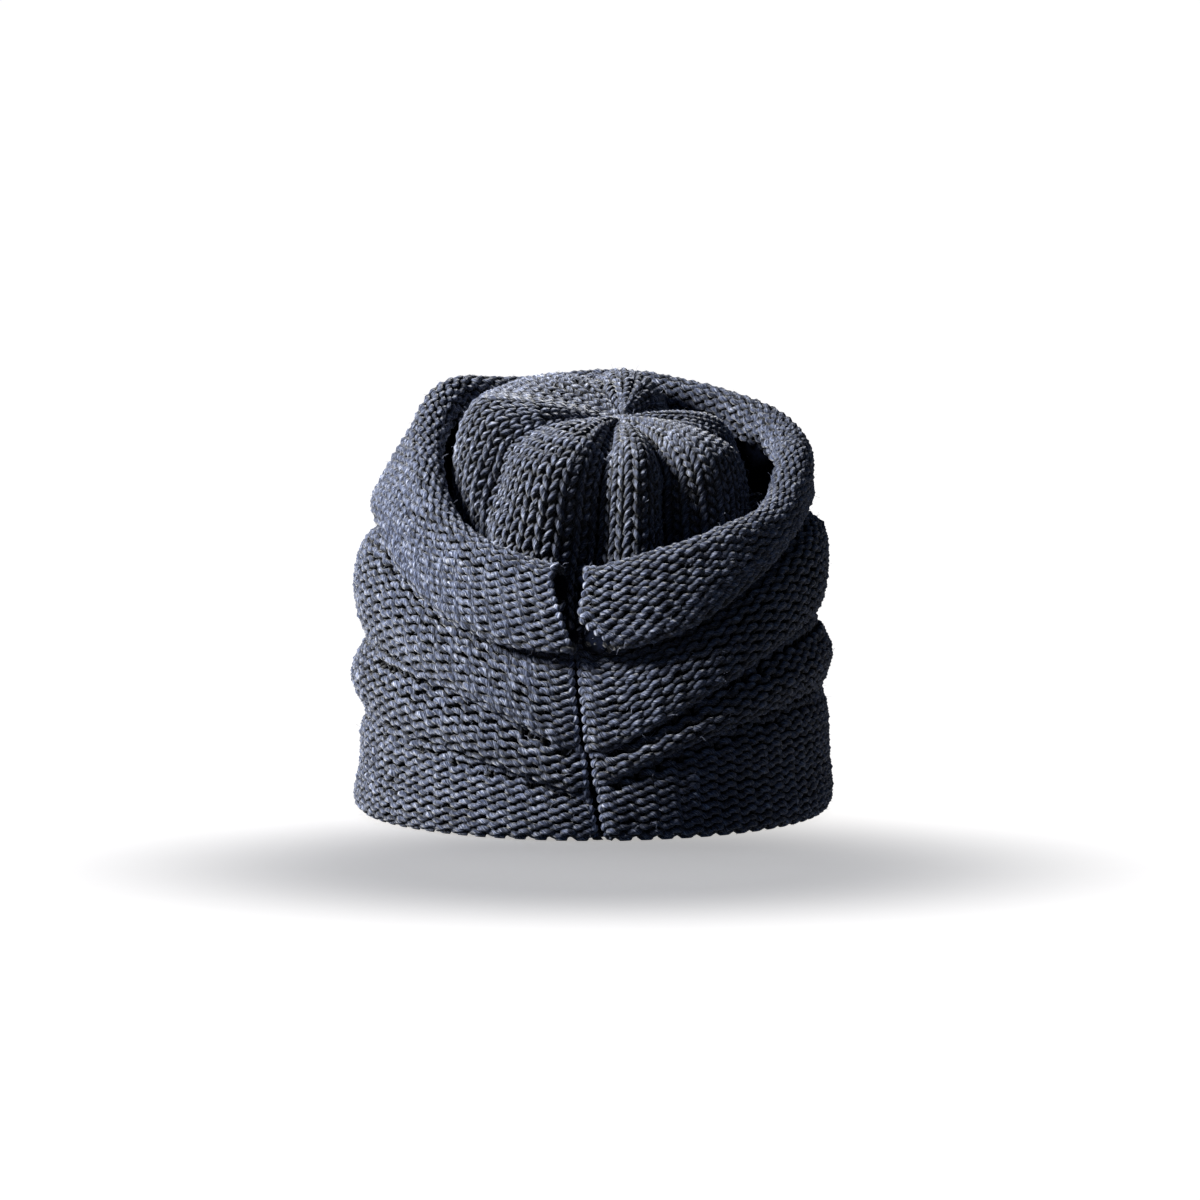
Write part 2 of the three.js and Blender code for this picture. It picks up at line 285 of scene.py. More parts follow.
class Sheet:
    # a cloth laid out by its own lengths: point() takes how far round, 0 to 1, how far up the cloth in
    # millimetres, and how far out of it
    def __init__(self, grid, marks):
        rows, columns = grid.shape[:2]
        steps = np.linalg.norm(np.diff(grid, axis=0), axis=-1)
        lengths = np.concatenate([np.zeros((1, columns)), np.cumsum(steps, 0)])
        self.marks = [lengths[mark] for mark in marks]
        self.total = lengths[-1]
        levels = np.arange(0, lengths[-1].max() + shape["step"], shape["step"])
        # the row at which each column reaches each length: one lookup over all columns laid end to end
        offset = np.arange(columns) * (lengths.max() + 10)
        wanted = np.minimum(levels[:, None], lengths[-1][None, :] - 1e-6) + offset
        place = np.interp(wanted.ravel(), (lengths + offset).T.ravel(),
                          np.tile(np.arange(rows), columns)).reshape(wanted.shape)
        low = np.minimum(place.astype(int), rows - 2)
        part = (place - low)[..., None]
        column = np.arange(columns)[None, :]
        self.grid = grid[low, column] * (1 - part) + grid[low + 1, column] * part
        outwards = normals(grid)
        outwards = outwards[low, column] * (1 - part) + outwards[low + 1, column] * part
        self.normals = unit(blurred(outwards, shape["evenRows"], shape["evenColumns"]))
        self.columns = columns

    def atColumn(self, values, share):
        # a value that each column has, in straight lines between the columns
        return np.interp(np.clip(share, 0, 1) * (self.columns - 1), np.arange(self.columns), values)

    def point(self, share, length, out):
        # a blend of the four grid points around the place, moved out along the blend of their normals
        across = np.clip(share, 0, 1) * (self.columns - 1)
        up = np.clip(length / shape["step"], 0, len(self.grid) - 1.001)
        i, j = up.astype(int), np.minimum(across.astype(int), self.columns - 2)
        a, b = (up - i)[..., None], (across - j)[..., None]
        found = []
        for grid in (self.grid, self.normals):
            low = grid[i, j] * (1 - b) + grid[i, j + 1] * b
            high = grid[i + 1, j] * (1 - b) + grid[i + 1, j + 1] * b
            found.append(low * (1 - a) + high * a)
        outward = unit(found[1])
        return found[0] + outward * np.asarray(out)[..., None], outward


share = np.linspace(0, 1, shape["columns"] + 1)
bodySpans = len(bodyLines) + len(rollAngles) - 2
bodyRows = bodyGrid(share, np.linspace(0, 1, bodySpans * shape["rowsPerLine"] + 1))
creaseRows = [lineNames.index(f"crease {n}") * shape["rowsPerLine"] for n in (3, 2, 1)]
crease = bodyRows[creaseRows[2]]
bodyRows[..., 1] -= seamRelief(share)
bodySheet = Sheet(bodyRows, creaseRows)

inwards = -unit(crease * [1, 1, 0]) * (shape["wall"] + 1)
crownPlaces = np.linspace(0, 1, len(crownLines) * shape["rowsPerLine"] + 1)
crownRows = crownGrid(share, crownPlaces, crease + inwards)
crownRows[:, -1] = crownRows[:, 0]
crownRows -= normals(crownRows) * foldDepth(share, crownPlaces)[..., None]
browRow = browPlace * shape["rowsPerLine"]
crownSheet = Sheet(crownRows, [browRow])
print("shape laid out: body", bodySheet.grid.shape, "crown", crownSheet.grid.shape)


def addMesh(name, points, faces, material, uv=None, proud=None):
    # a smooth mesh from arrays of points in millimetres and of faces with the same number of corners
    mesh = bpy.data.meshes.new(name)
    mesh.vertices.add(len(points))
    mesh.vertices.foreach_set("co", (points * mm).astype(np.float32).ravel())
    sides = faces.shape[1]
    mesh.loops.add(faces.size)
    mesh.loops.foreach_set("vertex_index", faces.astype(np.int32).ravel())
    mesh.polygons.add(len(faces))
    mesh.polygons.foreach_set("loop_start", np.arange(0, faces.size, sides, dtype=np.int32))
    if uv is not None:
        layer = mesh.uv_layers.new(name="yarn")
        layer.uv.foreach_set("vector", uv.astype(np.float32).ravel())
    if proud is not None:
        mesh.attributes.new("proud", "FLOAT", "POINT").data.foreach_set("value", proud.astype(np.float32))
    mesh.update(calc_edges=True)
    mesh.validate()
    mesh.shade_smooth()
    mesh.materials.append(material)
    piece = bpy.data.objects.new(name, mesh)
    bpy.context.scene.collection.objects.link(piece)
    print("  ", name, len(faces) * (sides - 2), "triangles")
    return piece


def yarnTubes(paths, outward, out, radius, sides):
    # tubes round many paths at once: a ring of points round each point of a path, faced with quads, and a
    # cap at each end. The ring starts on the side that faces into the cloth, so the seam of the UVs hides.
    strands, count = paths.shape[:2]
    along = unit(np.gradient(paths, axis=1))
    side = unit(np.cross(along, outward))
    up = np.cross(side, along)
    angle = np.arange(sides) / sides * turnRound
    ring = -np.cos(angle)[:, None] * up[:, :, None, :] + np.sin(angle)[:, None] * side[:, :, None, :]
    points = paths[:, :, None, :] + ring * radius[:, :, None, None]
    # how far each point stands out of the cloth, which the yarn's material turns into painted shade where it
    # lies low
    proud = out[:, :, None] - np.cos(angle) * radius[:, :, None]
    first = np.arange(strands)[:, None, None] * count * sides
    row = np.arange(count - 1)[None, :, None] * sides
    spot = np.arange(sides)[None, None, :]
    after = (spot + 1) % sides
    corners = [first + row + spot, first + row + sides + spot,
               first + row + sides + after, first + row + after]
    faces = np.stack(np.broadcast_arrays(*corners), -1)
    length = np.concatenate([
        np.zeros((strands, 1)), np.cumsum(np.linalg.norm(np.diff(paths, axis=1), axis=-1), 1)
    ], 1)
    length = length + np.arange(strands)[:, None] * 37.7  # each course shows another stretch of the yarn
    low, high = length[:, :-1, None], length[:, 1:, None]
    turn = spot / sides
    uv = [np.stack(np.broadcast_arrays(u, v), -1) for u, v in
          ((low, turn), (high, turn), (high, turn + 1 / sides), (low, turn + 1 / sides))]
    uv = np.stack(uv, -2)
    return points.reshape(-1, 3), faces, uv, proud.ravel()


def linear(code):
    # an sRGB hex colour as linear values
    parts = [int(code[i:i + 2], 16) / 255 for i in (1, 3, 5)]
    return [p / 12.92 if p <= 0.04045 else ((p + 0.055) / 1.055) ** 2.4 for p in parts] + [1]


def addNode(material, kind, settings=None, stops=None, **links):
    # adds a node, sets its properties and its stops, each a place from 0 to 1 and a colour, and fills its
    # sockets with values or from other nodes. A socket goes by its name, or by i and its number, and a node
    # gives its first output.
    node = material.node_tree.nodes.new(kind)
    for key, value in (settings or {}).items():
        setattr(node, key, value)
    if stops:
        elements = node.color_ramp.elements
        while len(elements) < len(stops):
            elements.new(0.5)
        for element, (place, colour) in zip(elements, stops):
            element.position = place
            element.color = linear(colour)
    for key, value in links.items():
        socket = node.inputs[int(key[1:]) if key[1:].isdigit() else key]
        if isinstance(value, bpy.types.Node):
            value = value.outputs[0]
        if isinstance(value, bpy.types.NodeSocket):
            material.node_tree.links.new(value, socket)
        else:
            socket.default_value = value
    return node


def newMaterial(name, **inputs):
    material = bpy.data.materials.new(name)
    material.use_nodes = True
    shader = material.node_tree.nodes["Principled BSDF"]
    for key, value in inputs.items():
        shader.inputs[key].default_value = value
    return material, shader


def join(material, node, socket):
    material.node_tree.links.new(node.outputs[0], socket)


multiply, multiplyAdd = {"operation": "MULTIPLY"}, {"operation": "MULTIPLY_ADD"}


def heatherYarn(name, look):
    # heathered wool blend, spun in plies and brushed a little: fibres in several greys run round the yarn
    # with its twist, with painted shade in the grooves between plies and where the yarn dips into the cloth,
    # and a dull sheen from the loose fibres
    material, shader = newMaterial(name, **look["surface"])
    coordinates = addNode(material, "ShaderNodeUVMap", {"uv_map": "yarn"})
    parts = addNode(material, "ShaderNodeSeparateXYZ", i0=coordinates)
    along, turn = parts.outputs[0], parts.outputs[1]
    twist = addNode(material, "ShaderNodeMath", multiplyAdd, i0=along, i1=1 / look["pitch"], i2=turn)
    # plies: the sine of the turn round the yarn, plus its twist, times the number of plies, raised to a
    # power that rounds the plies and keeps the grooves narrow
    turned = addNode(material, "ShaderNodeMath", multiply, i0=twist, i1=turnRound * look["plies"])
    wave = addNode(material, "ShaderNodeMath", {"operation": "SINE"}, i0=turned)
    ply = addNode(material, "ShaderNodeMath", multiplyAdd, i0=wave, i1=0.5, i2=0.5)
    groove = addNode(material, "ShaderNodeMath", {"operation": "POWER"}, i0=ply, i1=look["roundness"])
    # fibres: noise drawn out along the twist. Wool is 0.02 mm thick, too fine to show, so these are streaks
    # about 0.6 mm wide and 2 mm long.
    streakAlong = addNode(material, "ShaderNodeMath", multiply, i0=along, i1=look["fibreAlong"])
    streakAcross = addNode(material, "ShaderNodeMath", multiply, i0=twist, i1=look["fibreAcross"])
    streaks = addNode(material, "ShaderNodeCombineXYZ", i0=streakAlong, i1=streakAcross, i2=0.0)
    fibres = addNode(material, "ShaderNodeTexNoise", {"noise_dimensions": "3D"},
                     Vector=streaks, Scale=1.0, Detail=3.0, Roughness=0.6).outputs["Fac"]
    # patches: stretches of yarn a little lighter or darker, about 4 mm long, where other fibres come up
    place = addNode(material, "ShaderNodeTexCoord")
    patches = addNode(material, "ShaderNodeTexNoise", {"noise_dimensions": "3D"},
                      Vector=place.outputs["Object"], Scale=look["patches"], Detail=2.0).outputs["Fac"]
    tone = addNode(material, "ShaderNodeMath", multiplyAdd, i0=fibres, i1=look["fibreShare"],
                   i2=look["toneShift"])
    tone = addNode(material, "ShaderNodeMath", multiplyAdd, i0=patches, i1=look["patchShare"], i2=tone)
    colour = addNode(material, "ShaderNodeValToRGB", stops=look["colours"], i0=tone)
    # painted shade: the colour is darker where the yarn dips into the cloth, for the shadow that the loops
    # around cast there
    proud = addNode(material, "ShaderNodeAttribute", {"attribute_name": "proud"})
    paintedGapShade = addNode(material, "ShaderNodeMapRange", {"interpolation_type": "SMOOTHSTEP"},
                       i0=proud.outputs["Fac"], i1=look["deep"], i2=look["high"], i3=look["shade"], i4=1.0)
    # painted shade: the grooves between the plies are darker in colour
    paintedPlyShade = addNode(material, "ShaderNodeMath", multiplyAdd, i0=groove, i1=look["groove"],
                       i2=1 - look["groove"])
    paintedShading = addNode(material, "ShaderNodeMath", multiply, i0=paintedGapShade, i1=paintedPlyShade)
    dimmed = addNode(material, "ShaderNodeVectorMath", {"operation": "SCALE"}, i0=colour, Scale=paintedShading)
    join(material, dimmed, shader.inputs["Base Color"])
    height = addNode(material, "ShaderNodeMath", multiplyAdd, i0=fibres, i1=look["fibreHeight"], i2=groove)
    bump = addNode(material, "ShaderNodeBump", Strength=look["bump"], Distance=look["bumpDepth"] * mm,
                   Height=height)
    join(material, bump, shader.inputs["Normal"])
    return material


yarnLook = dict(
    pitch=7.0, plies=2, roundness=0.6,  # the twist turns once in this many millimetres
    fibreAlong=0.45, fibreAcross=12.0, patches=260.0,  # noise per millimetre, per turn and per metre
    fibreShare=0.9, patchShare=0.3, toneShift=-0.1,
    colours=[(0.36, "#131928"), (0.47, "#404963"), (0.58, "#8a93ad"), (0.69, "#e3e7f2")],
    # groove, deep, high and shade set painted shade: groove how dark the grooves between plies are, and the
    # colour falls to shade where the yarn lies deep
    groove=0.45, deep=-1.1, high=0.8, shade=0.02,  # deep and high are in millimetres out of the cloth
    fibreHeight=0.9, bump=0.8, bumpDepth=0.5,
    surface={"Roughness": 0.9, "Specular IOR Level": 0.25, "Sheen Weight": 0.35, "Sheen Roughness": 0.45},
)
bodyYarn = heatherYarn("knitted_heather_wool_body", yarnLook)
crownYarn = heatherYarn("knitted_heather_wool_crown", dict(yarnLook, pitch=8.0))


gapShadeLook = dict(
    unevenness=700.0,  # noise per metre: lumps of 1.4 mm, as wide as one ply of the yarn
    # near black: painted shade in the gaps between the stitches
    colours=[(0.3, "#04060c"), (0.7, "#0c1120")], bump=0.6, bumpDepth=0.6,
    surface={"Roughness": 0.95, "Specular IOR Level": 0.05},
)


def shadeCloth(name, look):
    # a sheet under the stitches and on the inside, far darker than the yarn: its colour is painted shade for
    # the deep gaps between the stitches, where only that colour and a soft unevenness show
    material, shader = newMaterial(name, **look["surface"])
    place = addNode(material, "ShaderNodeTexCoord")
    lumps = addNode(material, "ShaderNodeTexNoise", Vector=place.outputs["Object"], Scale=look["unevenness"],
                    Detail=3.0).outputs["Fac"]
    colour = addNode(material, "ShaderNodeValToRGB", stops=look["colours"], i0=lumps)
    join(material, colour, shader.inputs["Base Color"])
    bump = addNode(material, "ShaderNodeBump", Strength=look["bump"], Distance=look["bumpDepth"] * mm,
                   Height=lumps)
    join(material, bump, shader.inputs["Normal"])
    return material


shadeLiningCloth = shadeCloth("painted_shade_between_stitches", gapShadeLook)
print("materials made")


# how far a yarn strays: across in wales, up as a share of half a loop's height, out of the cloth in
# millimetres, and in thickness as a share of its radius
uneven = dict(across=0.06, up=0.25, out=0.3, thick=0.3)


def smoothNoise(rng, courses, wales, places):
    # a random value for each stitch, in straight lines between the stitches of a course
    values = rng.normal(size=(courses, wales + 3))
    return np.array([np.interp(places, np.arange(wales + 3) - 1, row) for row in values])


def knitCourses(sheet, knit, levels, gaps, ends, shareOf, rng):
    # one yarn for each course, laid at its level up the cloth. Along a course the yarn swings up and down
    # once for each stitch, as the cosine of the way through it, and leans out to both sides of its head by
    # the sine of twice that. It goes in and out of the cloth by the cosine of twice and four times that:
    # outwards at heads and feet where purls show, and outwards on the legs where plain stitches show.
    # It is a little thicker where it stands out.
    wales, steps = knit["wales"], knit["steps"]
    courses = len(levels)
    wale = np.arange(wales * steps + 1) / steps
    phase = turnRound * (wale - 0.5)
    slack = [smoothNoise(rng, courses, wales, wale - 0.5) * knit["slack"] for _ in range(3)]
    across = wale + knit["lean"] / turnRound * np.sin(2 * phase) + uneven["across"] * slack[0]
    places = shareOf(np.clip(across, 0, wales) / wales)
    base = np.array([sheet.atColumn(level, row) for level, row in zip(levels, places)])
    pitch = np.array([sheet.atColumn(gap, row) for gap, row in zip(gaps, places)])
    end = np.array([sheet.atColumn(level, row) for level, row in zip(ends, places)])
    rise = knit["reach"] * pitch * (np.cos(phase) + uneven["up"] * slack[1])
    swing = knit["depth"] * np.cos(2 * phase) + knit["curl"] * np.cos(4 * phase)
    sign = 1 if knit["face"] == "purl" else -1
    out = knit["sink"] + sign * swing + knit["nod"] * np.cos(phase) + uneven["out"] * slack[2]
    points, outward = sheet.point(places, base + rise, out)
    plump = 1 + sign * knit["plump"] * np.cos(2 * phase) + uneven["thick"] * slack[1]
    inside = base < end
    # the yarn tapers to nothing where the fold above it cuts it off
    whole = inside.copy()
    whole[:, 1:-1] &= inside[:, :-2] & inside[:, 2:]
    whole[:, [0, -1]] = False
    radius = knit["radius"] * plump * whole
    points[..., 2] = np.maximum(points[..., 2], radius)  # the lowest course lies on the ground
    vertices, faces, uv, proud = yarnTubes(points, outward, out, radius, knit["sides"])
    return vertices, faces, uv, proud, inside[:, :-1] & inside[:, 1:]


def addCourses(name, made, first, last, material):
    # the courses of one stretch of the cloth as one piece
    vertices, faces, uv, proud, kept = made
    perCourse = len(vertices) // len(faces)
    quads = (faces[first:last] - first * perCourse)[kept[first:last]].reshape(-1, 4)
    coordinates = uv[first:last][kept[first:last]].reshape(-1, 2)
    points, proud = (values[first * perCourse:last * perCourse] for values in (vertices, proud))
    used = np.zeros(len(points), bool)
    used[quads] = True
    renumber = np.cumsum(used) - 1
    piece = addMesh(name, points[used], renumber[quads], material, coordinates, proud[used])
    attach(piece, "root")


rng = np.random.default_rng(7)
bodyKnit = dict(
    face="purl", wales=69, steps=12, sides=6,  # stitches round, points along each, points round the yarn
    bandCourse=3.45, course=4.0, collarCourses=21,  # heights in the band and the folds, number in the collar
    drawn=0.2, drawnWidth=32,  # how much closer they are drawn beside the seam, and how far from it
    radius=1.12, plump=0.2, reach=0.75, lean=1.1,  # reach is half a loop's height in courses
    sink=-1.95, depth=1.35, curl=-0.25, nod=0.1, slack=0.35,  # curl flattens the bumps, nod lifts the heads
)


def bodyCourses():
    # courses climb from each crease and run out under the fold above, the highest of them drawn closer
    # together beside the seam by a bell curve. Those of the collar share out its height.
    crease3, crease2, crease1 = bodySheet.marks
    hem = np.zeros_like(crease3)
    levels, gaps, ends, regions = [], [], [], []
    fromSeam = shape["girth"] * np.minimum(share, 1 - share)
    drawn = 1 - bodyKnit["drawn"] * np.exp(-((fromSeam / bodyKnit["drawnWidth"]) ** 2))
    stretches = [(hem, crease3, bodyKnit["bandCourse"], 1), (crease3, crease2, bodyKnit["course"], 1),
                 (crease2, crease1, bodyKnit["course"], drawn)]
    for region, (low, high, pitch, closer) in enumerate(stretches):
        for index in range(int(np.ceil(((high - low) / (pitch * closer)).max()))):
            levels.append(low + (index + 0.5) * pitch * closer)
            gaps.append(np.full_like(low, pitch) * closer)
            ends.append(high - 0.2 * pitch)  # just short of the fold above
            regions.append(region)
    height, count = bodySheet.total - crease1, bodyKnit["collarCourses"]
    for index in range(count):
        levels.append(crease1 + height * (index + 0.5) / count)
        gaps.append(height / count)
        ends.append(bodySheet.total + 1)
        regions.append(3)
    return levels, gaps, ends, regions


# the yarns that bind the hem and both sides of the seam, in millimetres: a bead is one stitch, and each
# side of the seam has its share of the way round and its place out of the cloth
edgeLook = dict(plump=0.25, stand=0.4, sides=8)
hemEdge = dict(level=1.7, out=-2.2, radius=1.3, bead=8.7, points=1500)
seamEdge = dict(radius=1.4, bead=3.7, points=620, sides=[("right", 0.0015, -1.6), ("left", 0.9962, -1.3)])


def edgeYarn(name, places, levels, out, radius, bead):
    # a yarn that binds an edge of the body: it grows thicker and stands out once for each stitch, by the
    # cosine of the way along it
    places, levels = np.broadcast_arrays(places, levels)
    count = len(places)
    out = np.full((1, count), out)
    points, outward = bodySheet.point(places[None, :], levels[None, :], out)
    travelled = np.concatenate([[0], np.cumsum(np.linalg.norm(np.diff(points[0], axis=0), axis=-1))])
    beads = np.cos(turnRound * travelled / bead)
    stand = edgeLook["stand"] * beads
    radius = radius * (1 + edgeLook["plump"] * beads)[None, :]
    radius[:, [0, -1]] = 0
    points = points + outward * stand[None, :, None]
    tubes = yarnTubes(points, outward, out + stand, radius, edgeLook["sides"])
    addCourses(name, (*tubes, np.ones((1, count - 1), bool)), 0, 1, bodyYarn)


levels, gaps, ends, regions = bodyCourses()
made = knitCourses(bodySheet, bodyKnit, levels, gaps, ends, lambda s: s, rng)
cuts = [0, regions.index(1), regions.index(2), regions.index(3), len(regions)]
for number, (first, last) in enumerate(zip(cuts[:-1], cuts[1:])):
    # a stretch with many courses is two pieces
    halves = [first, (first + last) // 2, last] if last - first > 18 else [first, last]
    for part, (a, b) in enumerate(zip(halves[:-1], halves[1:])):
        addCourses(f"body_knit_{number + 1}{'ab'[part]}", made, a, b, bodyYarn)
hemLevel, hemPlaces = hemEdge["level"], np.linspace(0, 1, hemEdge["points"])
edgeYarn("hem_edge", hemPlaces, hemLevel, hemEdge["out"], hemEdge["radius"], hemEdge["bead"])
upward = np.linspace(0, 1, seamEdge["points"])
for side, end, out in seamEdge["sides"]:
    height = bodySheet.atColumn(bodySheet.total, end) - hemLevel
    levelsUp = hemLevel + height * upward
    edgeYarn(f"seam_edge_{side}", end, levelsUp, out, seamEdge["radius"], seamEdge["bead"])
print("body knitted:", len(levels), "courses")

crownKnit = dict(
    face="plain", steps=12, sides=6, course=4.4, radius=1.15, plump=0.12, reach=0.85, lean=1.6,
    sink=-2, depth=1.0, curl=0.0, nod=0.0, slack=0.25,
    zones=[(52, 36), (26, 12), (13, 0)],  # wales, and how far from the middle they end, in millimetres
)


def crownShare():
    # the wales stand evenly along the brow, in and out of the valleys
    brow = crownRows[browRow]
    lengths = np.concatenate([[0], np.cumsum(np.linalg.norm(np.diff(brow, axis=0), axis=-1))])
    return lambda s: np.interp(s * lengths[-1], lengths, share)


def knitCrown():
    # fewer wales towards the middle, where the crown is drawn together
    middleLength = float(np.median(crownSheet.total))
    count = int(round(middleLength / crownKnit["course"]))
    levels = [crownSheet.total * (index + 0.5) / count for index in range(count)]
    gaps = [crownSheet.total / count] * count
    ends = [crownSheet.total + 1] * count
    left = middleLength * (1 - (np.arange(count) + 0.5) / count)
    outer = np.inf
    for number, (wales, inner) in enumerate(crownKnit["zones"]):
        picked = np.flatnonzero((left <= outer) & (left > inner))
        outer = inner
        made = knitCourses(crownSheet, dict(crownKnit, wales=wales), [levels[i] for i in picked],
                           [gaps[i] for i in picked], [ends[i] for i in picked], crownShare(), rng)
        addCourses(f"crown_knit_{number + 1}", made, 0, len(picked), crownYarn)
    print("crown knitted:", count, "courses")


knitCrown()

fuzzLook = dict(
    bodyHairs=10500, crownHairs=3500, shortest=1.2, longest=4.0,
    width=0.09,  # real ones are 0.02 mm wide, too fine to show
    lift=0.55, lean=0.8, kneeLean=0.25,  # shares of a hair's length: how far it stands out and goes sideways
    kneeLift=0.8,  # the knee's share of the lift
    tones=900.0,  # noise per metre: patches of 1 mm, so that each hair has a tone of its own
    colours=[(0.35, "#4a5068"), (0.65, "#aab0c2")],
)


def looseFibre():
    # single loose fibres of the wool: they catch the light along the edges
    material, shader = newMaterial("loose_wool_fibre", Roughness=0.6)
    place = addNode(material, "ShaderNodeTexCoord")
    tones = addNode(material, "ShaderNodeTexNoise", Vector=place.outputs["Object"],
                    Scale=fuzzLook["tones"]).outputs["Fac"]
    colour = addNode(material, "ShaderNodeValToRGB", stops=fuzzLook["colours"], i0=tones)
    join(material, colour, shader.inputs["Base Color"])
    return material


def addFuzz(name, start, count, material):
    # short hairs that stand out of the yarn and lean over: each is a narrow ribbon from a foot through a
    # knee, which has most of its height, to a tip, which has most of its way sideways
    spots, outwards = [], []
    for piece in [piece for piece in bpy.context.scene.objects if piece.name.startswith(start)]:
        size = len(piece.data.vertices)
        for attribute, found in (("co", spots), ("normal", outwards)):
            values = np.empty(size * 3, np.float32)
            piece.data.vertices.foreach_get(attribute, values)
            found.append(values.reshape(-1, 3))
    spots, outwards = np.concatenate(spots) / mm, unit(np.concatenate(outwards))
    picked = rng.integers(0, len(spots), count)
    foot, outward = spots[picked], outwards[picked]
    sideways = unit(np.cross(outward, unit(rng.normal(size=(count, 3)))))
    length = rng.uniform(fuzzLook["shortest"], fuzzLook["longest"], (count, 1))
    kneeHeight = fuzzLook["kneeLift"] * fuzzLook["lift"]
    knee = foot + length * (kneeHeight * outward + fuzzLook["kneeLean"] * sideways)
    tip = foot + length * (fuzzLook["lift"] * outward + fuzzLook["lean"] * sideways)
    flat = np.cross(outward, sideways) * fuzzLook["width"] / 2
    points = np.stack([foot - flat, foot + flat, knee - flat, knee + flat, tip - flat, tip + flat], 1)
    points[..., 2] = np.maximum(points[..., 2], 0.1)  # none goes into the floor
    first = np.arange(count)[:, None, None] * 6
    faces = first + np.array([[[0, 1, 3, 2], [2, 3, 5, 4]]])
    piece = addMesh(name, points.reshape(-1, 3), faces.reshape(-1, 4), material)
    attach(piece, "root")


fibre = looseFibre()
addFuzz("body_fuzz", "body_knit", fuzzLook["bodyHairs"], fibre)
addFuzz("crown_fuzz", "crown_knit", fuzzLook["crownHairs"], fibre)
print("loose fibres added")


# the near-black sheet between the stitches, which blocks light through the gaps and whose colour is painted
# shade: millimetres out of the sheets, and facets
liningLook = dict(bodyOut=-3.7, crownOut=-3.6, inside=-4.6, columns=200, bodyRows=150, crownRows=70)


def shell(name, sheet, outside, rows, closedLength, pole):
    # a closed wall between two depths of a sheet. Its sides meet up to closedLength, and end apart above
    # it. A pole draws its last row into a point.
    columns, inside = liningLook["columns"], liningLook["inside"]
    shares = np.linspace(0, 1, columns + 1)
    ends = sheet.atColumn(sheet.total, shares)
    lengths = np.linspace(0, 1, rows + 1)[:, None] * ends[None, :]
    spread = np.broadcast_to(shares, lengths.shape)
    outer = sheet.point(spread, lengths, np.full(lengths.shape, outside))[0]
    inner = sheet.point(spread, lengths, np.full(lengths.shape, inside))[0]
    size = (rows + 1) * (columns + 1)
    ids = np.arange(size).reshape(rows + 1, columns + 1)
    closed = lengths[:, 0] <= closedLength
    ids[closed, -1] = ids[closed, 0]
    if pole:
        ids[-1] = ids[-1, 0]
    both = ids + size

    def quads(a, b, c, d):
        corners = np.stack([a.ravel(), b.ravel(), c.ravel(), d.ravel()], -1)
        return np.concatenate([corners[:, [0, 1, 2]], corners[:, [0, 2, 3]]])

    parts = [
        quads(ids[:-1, :-1], ids[:-1, 1:], ids[1:, 1:], ids[1:, :-1]),
        quads(both[1:, :-1], both[1:, 1:], both[:-1, 1:], both[:-1, :-1]),
        quads(ids[0, 1:], ids[0, :-1], both[0, :-1], both[0, 1:]),
    ]
    if not pole:
        parts.append(quads(ids[-1, :-1], ids[-1, 1:], both[-1, 1:], both[-1, :-1]))
    free = ~closed[1:]
    parts.append(quads(ids[:-1, 0][free], ids[1:, 0][free], both[1:, 0][free], both[:-1, 0][free]))
    parts.append(quads(ids[1:, -1][free], ids[:-1, -1][free], both[:-1, -1][free], both[1:, -1][free]))
    faces = np.concatenate(parts)
    distinct = (faces[:, 0] != faces[:, 1]) & (faces[:, 1] != faces[:, 2]) & (faces[:, 2] != faces[:, 0])
    faces = faces[distinct]
    points = np.concatenate([outer.reshape(-1, 3), inner.reshape(-1, 3)])
    used = np.zeros(len(points), bool)
    used[faces] = True
    renumber = np.cumsum(used) - 1
    piece = addMesh(name, points[used], renumber[faces], shadeLiningCloth)
    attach(piece, "root")
    return piece


seamLength = bodySheet.marks[2][0]
bodyShadeLining = shell("body_shade_lining", bodySheet, liningLook["bodyOut"], liningLook["bodyRows"], seamLength, False)
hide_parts("ruched_body")
crownOut, crownRowCount = liningLook["crownOut"], liningLook["crownRows"]
crownShadeLining = shell("crown_shade_lining", crownSheet, crownOut, crownRowCount, math.inf, True)
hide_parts("gathered_crown")
print("linings made")


# the floor's glow, with a painted shadow: a darker oval under the hat
floorLook = dict(
    middle=(0.006, -0.17), half=(0.215, 0.17),  # the oval of the shadow in metres, on the side of the seam
    fade=(0.35, 1.12), glow=(0.42, 1.0),  # the shadow fades between these shares of it, to the full glow
    tint="#fffdfb",  # evens out the blue of the fill
    mottle=60.0,  # noise per metre: clouds of 17 mm, where the paper's own grain is too fine to show
    colours=[(0.3, "#f4f4f4"), (0.7, "#fbfbfb")],
    radius=40.0, segments=96,
)


